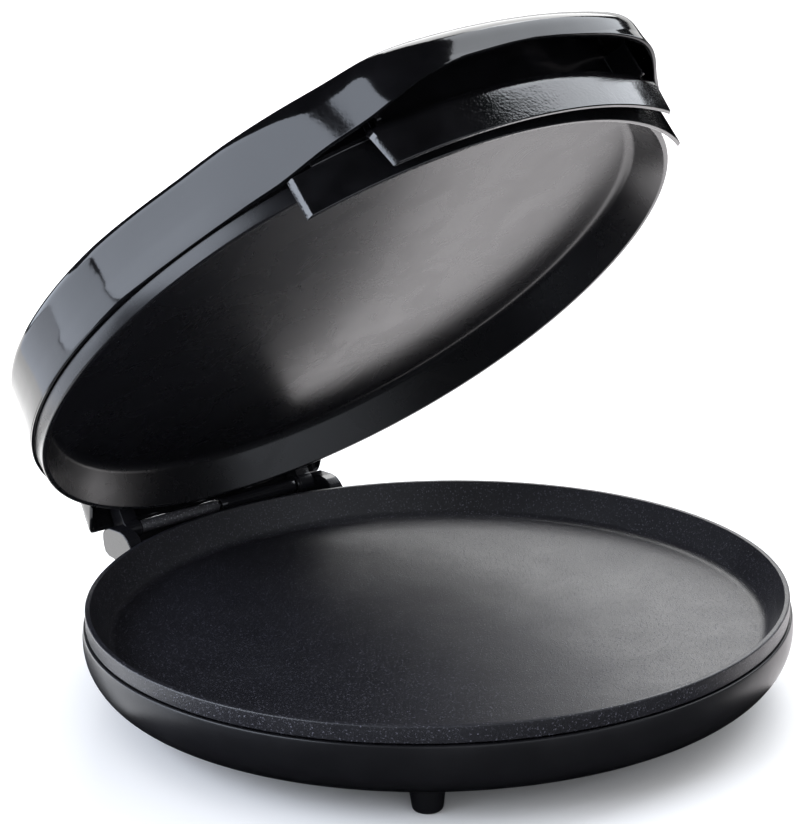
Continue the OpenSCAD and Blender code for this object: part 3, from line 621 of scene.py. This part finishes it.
# ---------------------------------------------------------------- lid arms
AY, AZ = HY, HZ - LZ
AX0, AX1 = 49.6, 57.9
arm = []
for s in (-1, 1):
    circ = [(AY + 5.2 * cos(t), AZ + 5.2 * sin(t)) for t in np.linspace(rad(152.5), rad(388), 26)]
    line = circ + [(AY + 3.6, 4.4), (AY + 2.6, 8.0), (AY + 0.6, 14.0), (AY - 1.0, 19.5), (AY - 4.0, 24.0), (AY - 7.0, 27.4), (AY - 13.5, 27.4),
                   (AY - 13.5, 14.0), (AY - 6.6, 9.0)]
    line = fillet(line, [0] * 26 + [2.0, 2.5, 2.5, 2.5, 2.0, 1.5, 0.8, 1.0, 2.0], 3, True)
    x0, x1 = sorted((s * AX0, s * AX1))
    arm.append(prism(line, x0, x1))
    x2 = s * 48.1
    col = [(x2, 2.26), (x2, 4.2), (x2 + s * 0.4, 4.6), (x2 + s * 2.0, 4.6), (x2 + s * 2.0, 2.26)]
    arm.append(tube_x(AY, AZ, col, 40))
arms = make("hinge_arms", *join(arm), M_HINGE, "lid", "casing_black", lid=True, bevel=0.6, seg=3)
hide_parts("lid_arms")

# ---------------------------------------------------------------- lid cover
def gsmooth(x, y, sigma):
    """gaussian smoothing of a periodic curve sampled evenly in degrees"""
    step = x[1] - x[0]
    w = int(4 * sigma / step) + 1
    k = np.exp(-0.5 * (np.arange(-w, w + 1) * step / sigma) ** 2)
    k /= k.sum()
    return np.convolve(np.r_[y[-w:], y, y[:w]], k, "valid")


def smoothstep(a, b, x):
    t = np.clip((x - a) / (b - a), 0, 1)
    return t * t * (3 - 2 * t)


def polar(pts):
    """half outline points (x, y to the front) as angles from the front and radii"""
    return np.array([math.degrees(math.atan2(x, y)) for x, y in pts]), np.array([math.hypot(x, y) for x, y in pts])


ANG = np.arange(-180.0, 180.0, 0.25)
absA = np.abs(ANG)
# plan of the front overhang at its lower edge, right half
oa, orr = polar([(0, 183.8), (6.4, 184.0), (12.9, 184.3), (19.4, 184.5), (26, 184.7), (32.6, 184.8), (39.3, 184.9), (46.1, 184.8), (52.8, 184.0),
                 (59.2, 182.0), (65, 178.6), (70.2, 173.8), (74.8, 168.1), (79.1, 162.1), (83.2, 156.6), (87.4, 151.4), (91.5, 146.5),
                 (95.5, 141.6), (99.1, 136.4), (102.3, 131.0), (105.3, 125.5), (107.6, 121.3)])
LOW = np.where(absA <= oa[-1], np.interp(absA, oa, orr), 161.6)
soft = smoothstep(27, 35, absA)
LOW = (1 - soft) * gsmooth(ANG, LOW, 0.8) + soft * gsmooth(ANG, LOW, 3.2)
# radius of the shoulder: a longer, softer sweep than the edge below it
HIGH = gsmooth(ANG, np.interp(absA, [0, 6, 12, 15, 18, 21, 24, 27, 30, 33, 36, 39, 42, 45, 48, 51, 54, 58, 63, 72, 80, 90, 100, 110, 120, 130, 150, 180],
                              [183.3, 183.5, 184.3, 184.8, 185.7, 186.1, 183.6, 178.4, 174.3, 171.7, 169.4, 166.9, 164.5, 162.1, 159.8, 157.9, 156.5,
                               156.2, 157.0, 159.3, 159.6, 159.8, 159.9, 159.1, 156.9, 155.3, 155.4, 156.6]), 0.9)
# rear housing, right half
ra, rr_ = polar([(0, 175.7), (30, 175.7), (55, 175.6), (62, 175.4), (66.5, 174.6), (69.6, 172.4), (71.2, 168.5), (71.8, 163), (72, 156),
                 (72.2, 148), (73.2, 143.6)])
ra, rr_ = (180 - ra)[::-1], rr_[::-1]
REAR_X = gsmooth(ANG, np.where(absA >= ra[0], np.interp(absA, ra, rr_), 161.5), 0.6) - 161.5
edge_a = [0, 2, 4, 6, 8, 10, 12, 14, 16, 18, 20, 22, 24, 26, 28, 30, 32, 34, 36, 38, 41, 50, 153.3, 154.1, 156.1, 156.5, 156.9, 157.8, 180]
edge_z = [20.5, 20.3, 20.0, 19.5, 18.9, 18.3, 17.7, 16.7, 15.3, 14.0, 12.7, 11.4, 10.5, 9.9, 9.7, 9.7, 9.6, 9.4, 9.0, 8.6, 8.1, 8.0,
          8.0, 14.2, 14.6, 10.8, 8.0, 4.5, 4.5]
ZED = gsmooth(ANG, np.interp(absA, edge_a, edge_z), 0.35)
FRONT = smoothstep(52, 26, absA)                                # 1 over the overhang
SX, SY = np.sin(np.radians(ANG)), -np.cos(np.radians(ANG))


def wall_at(z):
    """radius of the outer wall at height z, one z for each column"""
    w = np.interp(z, [7.6, 10.6, 14.6, 19.6, 25.6, 31.6, 39.6], [0, 0.095, 0.286, 0.524, 0.714, 0.857, 1.0])
    g = sum(np.interp(z + d, [4.3, 8.9, 14.9, 19.5, 25, 30, 35, 38.4], [1.0, 0.93, 0.887, 0.85, 0.70, 0.47, 0.15, 0.0])
            for d in (-2.6, -1.3, 0.0, 1.3, 2.6)) / 5
    plain = LOW + (HIGH - LOW) * w + REAR_X * g
    th = np.radians(180.0 - absA)
    back = (156.6 + 5.0 * (1 - w) + 14.2 * g) / np.cos(np.minimum(th, 1.3))
    side = 72.0 / np.maximum(np.sin(th), 0.05)
    square = gsmooth(ANG, -np.log(np.exp(-0.9 * (back - 150)) + np.exp(-0.9 * (side - 150))) / 0.9 + 150, 0.45)
    keep = smoothstep(40, 18, z) * (absA > 150)
    return np.maximum(plain, plain + (square - plain) * keep)


def top_z(x, y):
    r = np.hypot(x, y)
    z = 39.3 + 10.0 * (1 - (r / 153.7) ** 2)
    # raised middle panel that widens to the front
    yy = np.clip((-y + 150) / 320.0, 0, 1)
    half = 62 + 52 * smoothstep(0.25, 0.86, yy)
    half = half + 22 * smoothstep(0.80, 0.98, yy)
    w = smoothstep(-5.0, 8.0, half - np.abs(x))
    return z + 1.5 * w * smoothstep(152, 118, y) * smoothstep(-168, -142, y) * smoothstep(158, 149, r)


def cover_lines(rows_w=18, rows_f=14, rows_t=58):
    """outer surface from the lower edge to just short of the crown, rows x columns of (radius, height)"""
    rho = 4.2 + 4.4 * FRONT
    zs = np.full_like(ANG, 38.0)
    for _ in range(6):
        rs = wall_at(zs)
        zs = top_z(rs * SX, rs * SY)
    rs = wall_at(zs)
    d = rho * 1.15
    zt = zs - d
    rows = []
    for k in range(rows_w):
        z = ZED + (zt - ZED) * k / rows_w
        rows.append((wall_at(z), z))
    at = wall_at(zt)
    rt = rs - d
    ct = top_z(rt * SX, rt * SY)
    for k in range(rows_f + 1):
        u = k / rows_f
        rows.append(((1 - u) ** 2 * at + 2 * u * (1 - u) * rs + u * u * rt, (1 - u) ** 2 * zt + 2 * u * (1 - u) * zs + u * u * ct))
    for k in range(1, rows_t):
        r = rt * (1 - k / rows_t)
        rows.append((r, top_z(r * SX, r * SY)))
    return np.array(rows)


def build_cover():
    n = len(ANG)
    t = 2.5
    L = cover_lines()
    cols = []
    for i in range(n):
        P = L[:, :, i]
        # normals in the section plane, for the inner skin
        T = np.gradient(P, axis=0)
        N = np.stack([T[:, 1], -T[:, 0]], -1)
        N /= np.linalg.norm(N, axis=1)[:, None]
        I = P - t * N
        I[:, 0] = np.maximum(I[:, 0], P[-1, 0] * 0.5)
        b = 0.55
        up = P[1] - P[0]
        up = up / np.linalg.norm(up)
        q = [tuple(x) for x in I[::-1]]
        q[-1] = (P[0, 0] - t, P[0, 1] + b)
        q += [(P[0, 0] - t + b, P[0, 1]), (P[0, 0] - t * 0.5, P[0, 1] - 0.02), (P[0, 0] - b, P[0, 1]),
              (P[0, 0] - b * 0.28, P[0, 1] + b * 0.28), tuple(P[0] + up * b)]
        q += [tuple(x) for x in P[1:]]
        cols.append(q)
    m = len(cols[0])
    V = []
    for i in range(n):
        V += [(r * SX[i], r * SY[i], z) for r, z in cols[i]]
    F = []
    for i in range(n):
        j = (i + 1) % n
        for k in range(m - 1):
            F.append((i * m + k, j * m + k, j * m + k + 1, i * m + k + 1))
    zc = float(top_z(np.array(0.0), np.array(0.0)))
    V.append((0, 0, zc)); co = len(V) - 1
    V.append((0, 0, zc - t)); ci = len(V) - 1
    for i in range(n):
        j = (i + 1) % n
        F.append((i * m + m - 1, j * m + m - 1, co))
        F.append((i * m, ci, j * m))
    return V, F


cv, cf = build_cover()
cover = make("cover_shell", cv, cf, M_GLOSS, "lid", "lid_gloss", lid=True, sharp=50)
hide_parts("lid_cover")

# ---------------------------------------------------------------- hand guard
def arc_pts(cx, cy, r, a0, a1, n=8):
    return [(cx + r * cos(rad(a0 + (a1 - a0) * k / n)), cy + r * sin(rad(a0 + (a1 - a0) * k / n))) for k in range(n + 1)]


def slant(section, a, r_out, n):
    """ring section over +-a whose ends are cut aslant, so that the end faces look outwards"""
    V = []
    for i in range(n + 1):
        for r, z in section:
            ext = math.degrees(min(2.0, max(0.0, r_out - r)) * 1.35 / r_out)
            t = rad((a + ext) * (2.0 * i / n - 1))
            V.append((r * sin(t), -r * cos(t), z))
    m = len(section)
    F = [(i * m + k, (i + 1) * m + k, (i + 1) * m + (k + 1) % m, i * m + (k + 1) % m) for i in range(n) for k in range(m)]
    return V, F + [tuple(range(m)), tuple(n * m + k for k in range(m))[::-1]]


def skirt(outer, inner, a_top, tilt, n):
    """thin curved wall between matching outer and inner lines; its ends face outwards and draw in towards the lower edge"""
    m = len(outer)
    w_ = 2 * m
    V = []
    for i in range(n + 1):
        for k, (r, z) in enumerate(outer + inner[::-1]):
            a = a_top - tilt * max(0.0, 7.0 - z) + (0.0 if k < m else 0.88)
            t = rad(a * (2.0 * i / n - 1))
            V.append((r * sin(t), -r * cos(t), z))
    F = [(i * w_ + k, (i + 1) * w_ + k, (i + 1) * w_ + (k + 1) % w_, i * w_ + (k + 1) % w_) for i in range(n) for k in range(w_)]
    for o, step in ((0, 1), (n * w_, -1)):
        F += [(o + k, o + k + 1, o + w_ - 2 - k, o + w_ - 1 - k)[::step] for k in range(m - 1)]
    return V, F


ZB = -10.9
# outer skirt
g0 = skirt([(175.4, ZB), (175.4, -4), (175.4, 3.0)] + arc_pts(168.0, 3.0, 7.4, 6, 60, 9),
           [(173.4, ZB), (173.4, -4), (173.4, 3.0)] + arc_pts(168.0, 3.0, 5.4, 6, 60, 9), 26.9, 0.064, 150)
# recess floor turning up into its back wall
sec = arc_pts(168.0, 3.0, 7.36, 46, 90, 8) + arc_pts(164.6, 12.0, 1.6, 270, 180, 5) + \
      [(163.0, 20), (163.0, 30), (163.0, 34.9), (160.8, 34.9), (160.8, 20), (160.8, 8.4), (166.2, 8.4)] + arc_pts(168.0, 3.0, 5.44, 90, 46, 8)
g1 = sector(sec, -26.6, 26.6, 150)
sec2 = [(163.2, ZB), (165.2, ZB), (165.2, -4), (165.2, 3), (165.2, 8.1), (163.2, 8.1), (163.2, 3), (163.2, -4)]
g2 = slant(sec2, 39.2, 165.2, 200)
sec3 = [(160.7, 8.0), (165.1, 8.0), (165.1, 10.3), (160.7, 10.3)]
g3a = sector(sec3, -36.0, -26.2, 24)
g3b = sector(sec3, 26.2, 36.0, 24)
ends = []
for s in (-1, 1):
    a = rad(s * 25.2)
    V, F = box3((-1.1, -174.6, 10.0), (1.1, -162.2, 27.0))
    V = [(x * cos(a) - y * sin(a), x * sin(a) + y * cos(a), z) for x, y, z in V]
    ends.append((V, F))
guard = make("guard_skirts", *join([g0, g1, g2, g3a, g3b] + ends), M_GUARD, "lid", "lid_gloss", lid=True, bevel=0.45, seg=3, limit=40)
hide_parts("hand_guard")

# ---------------------------------------------------------------- lamp lenses
ll = []
lz = float(top_z(np.array(7.0), np.array(-118.0)))
for x in (-7, 7):
    prof = [(0, lz - 5.6), (4.2, lz - 5.6), (4.2, lz - 4.6), (3.0, lz - 4.4), (3.0, lz - 0.1)] + \
           [(3.0 * cos(rad(t)), lz - 0.1 + 0.75 * sin(rad(t))) for t in (15, 30, 45, 60, 75)] + [(0, lz + 0.65)]
    ll.append(revolve(prof, 40, False, (x, -118)))
lens = make("lamp_windows", *join(ll), M_LENS, "lid", "lens", lid=True)
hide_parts("lamp_lenses")

# ---------------------------------------------------------------- CAD nodes that stay: finish each one
finish = {
    "foot_pads": M_PAD, "foot_screws": M_STEEL, "lower_element": M_ELEM, "lower_clips": M_STEEL, "lower_clip_screws": M_STEEL,
    "lower_reflector": M_ALU, "plate_screws": M_STEEL, "thermostat": M_CERAM, "thermal_fuse": M_CERAM, "terminal_block": M_CERAM,
    "base_leads": M_WIRE, "cord_gland": M_HINGE, "ear_screws": M_STEEL, "hinge_pin": M_DARK,
    "lid_frame": M_SATIN, "guard_screws": M_STEEL, "upper_element": M_ELEM, "upper_clips": M_STEEL, "upper_clip_screws": M_STEEL,
    "upper_reflector": M_ALU, "frame_screws": M_STEEL, "arm_screws": M_STEEL, "lamp_board": M_BOARD, "lid_leads": M_WIRE,
    "base_housing": M_SATIN, "feet": M_SATIN, "lower_plate": M_LOWER, "upper_plate": M_UPPER, "hinge_ears": M_HINGE,
    "lid_arms": M_HINGE, "sleeve_left": M_SLEEVE, "sleeve_right": M_HINGE, "lid_cover": M_GLOSS, "hand_guard": M_GUARD,
    "lamp_lenses": M_LENS,
}
for n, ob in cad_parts.items():
    ob.data.materials.clear()
    ob.data.materials.append(finish.get(n, M_SATIN))

# ---------------------------------------------------------------- floor
def mat_floor():
    m, nt, b, tc = nodes_of("floor_pale")
    c = noise(nt, tc, 2.0, 3.0)
    col = colmix(nt, c.outputs["Fac"], (0.86, 0.86, 0.865), (0.88, 0.88, 0.885))
    nt.links.new(col, b.inputs["Base Color"])
    nt.links.new(ramp(nt, c.outputs["Fac"], 0.3, 0.7, 0.55, 0.65), b.inputs["Roughness"])
    return m


me = bpy.data.meshes.new("floor")
me.from_pydata([(-9, -9, 0), (9, -9, 0), (9, 9, 0), (-9, 9, 0)], [], [(0, 1, 2, 3)])
me.materials.append(mat_floor())
floor = bpy.data.objects.new("floor", me)
floor.location = (0, 0, -0.0002)
bpy.context.scene.collection.objects.link(floor)

# ---------------------------------------------------------------- light
def area(name, pos, target, w, h, radiance, color=(1, 1, 1)):
    """soft box of even brightness, seen only in the light it gives and in reflections"""
    l = bpy.data.lights.new(name, "AREA")
    l.shape = "RECTANGLE"
    l.size, l.size_y = w, h
    l.energy = radiance * pi * w * h
    l.color = color
    o = bpy.data.objects.new(name, l)
    o.location = pos
    d = Vector(target) - Vector(pos)
    o.rotation_mode = "QUATERNION"
    o.rotation_quaternion = d.to_track_quat("-Z", "Y")
    o.visible_camera = False
    bpy.context.scene.collection.objects.link(o)
    return o


def panel(name, az, el, dist, w, h, radiance, color=(1, 1, 1), target=(0, 0, 0.2)):
    """az from the front, positive to the right; el above the table"""
    a, e = rad(az), rad(el)
    pos = (target[0] + dist * sin(a) * cos(e), target[1] - dist * cos(a) * cos(e), target[2] + dist * sin(e))
    return area(name, pos, target, w, h, radiance, color)


panel("left_panel", -111, 26, 2.0, 2.15, 1.15, 5.6, (0.80, 0.87, 1.0))
panel("right_panel", 87, 42, 1.6, 1.0, 1.25, 4.0, (0.90, 0.94, 1.0))
panel("left_back", -145, 1.1, 1.6, 1.35, 0.455, 4.2, (0.80, 0.87, 1.0))
panel("back_low", 132, 14, 2.4, 1.6, 0.65, 1.5)
panel("back_high", 136, 38, 2.4, 1.6, 1.35, 5.2)
panel("front_panel", -8, 17, 2.2, 3.4, 1.1, 1.1, (0.86, 0.91, 1.0))
# pale table behind and to the right, as a low glow
area("glow_back", (0.50, 0.96, 0.002), (0.50, 0.96, 1.0), 1.60, 1.08, 2.3)
area("glow_left", (-0.19, 0.29, 0.002), (-0.19, 0.29, 1.0), 0.26, 0.18, 3.8)
area("glow_left_near", (-0.235, 0.125, 0.002), (-0.235, 0.125, 1.0), 0.14, 0.15, 2.0, (0.92, 0.95, 1.0))
area("glow_right", (0.61, 0.11, 0.002), (0.61, 0.11, 1.0), 1.02, 0.62, 2.1, (1.0, 0.97, 0.99))
area("glow_back_left", (-0.71, 0.785, 0.002), (-0.71, 0.785, 1.0), 0.82, 0.87, 2.6, (0.82, 0.88, 1.0))
floor.visible_glossy = False

w = bpy.data.worlds.new("studio")
bpy.context.scene.world = w
w.use_nodes = True
bg = w.node_tree.nodes["Background"]
bg.inputs["Color"].default_value = (1.0, 1.0, 1.0, 1)
bg.inputs["Strength"].default_value = 1.0
w.cycles_visibility.glossy = False

# ---------------------------------------------------------------- camera
AZ_, EL_, ROLL = rad(-39.533), rad(16.4775), rad(-1.496)
backv = Vector((sin(AZ_) * cos(EL_), -cos(AZ_) * cos(EL_), sin(EL_)))
right = Vector((cos(AZ_), sin(AZ_), 0))
up = backv.cross(right)
r2 = cos(ROLL) * right + sin(ROLL) * up
u2 = -sin(ROLL) * right + cos(ROLL) * up
cam_d = bpy.data.cameras.new("camera")
cam_d.sensor_width = 36.0
cam_d.sensor_fit = "AUTO"
cam_d.lens = 36.0 * 2694.2 / 824.0
cam_d.clip_start, cam_d.clip_end = 0.05, 50.0
cam_d.shift_x = 0.0
cam = bpy.data.objects.new("camera", cam_d)
cam.matrix_world = Matrix(((r2.x, u2.x, backv.x, -0.7479), (r2.y, u2.y, backv.y, -0.8834), (r2.z, u2.z, backv.z, 0.4735), (0, 0, 0, 1)))
bpy.context.scene.collection.objects.link(cam)
bpy.context.scene.camera = cam
try:
    bpy.context.scene.view_settings.view_transform = "Standard"
    bpy.context.scene.view_settings.look = "None"
except Exception:
    pass

bpy.context.view_layer.update()
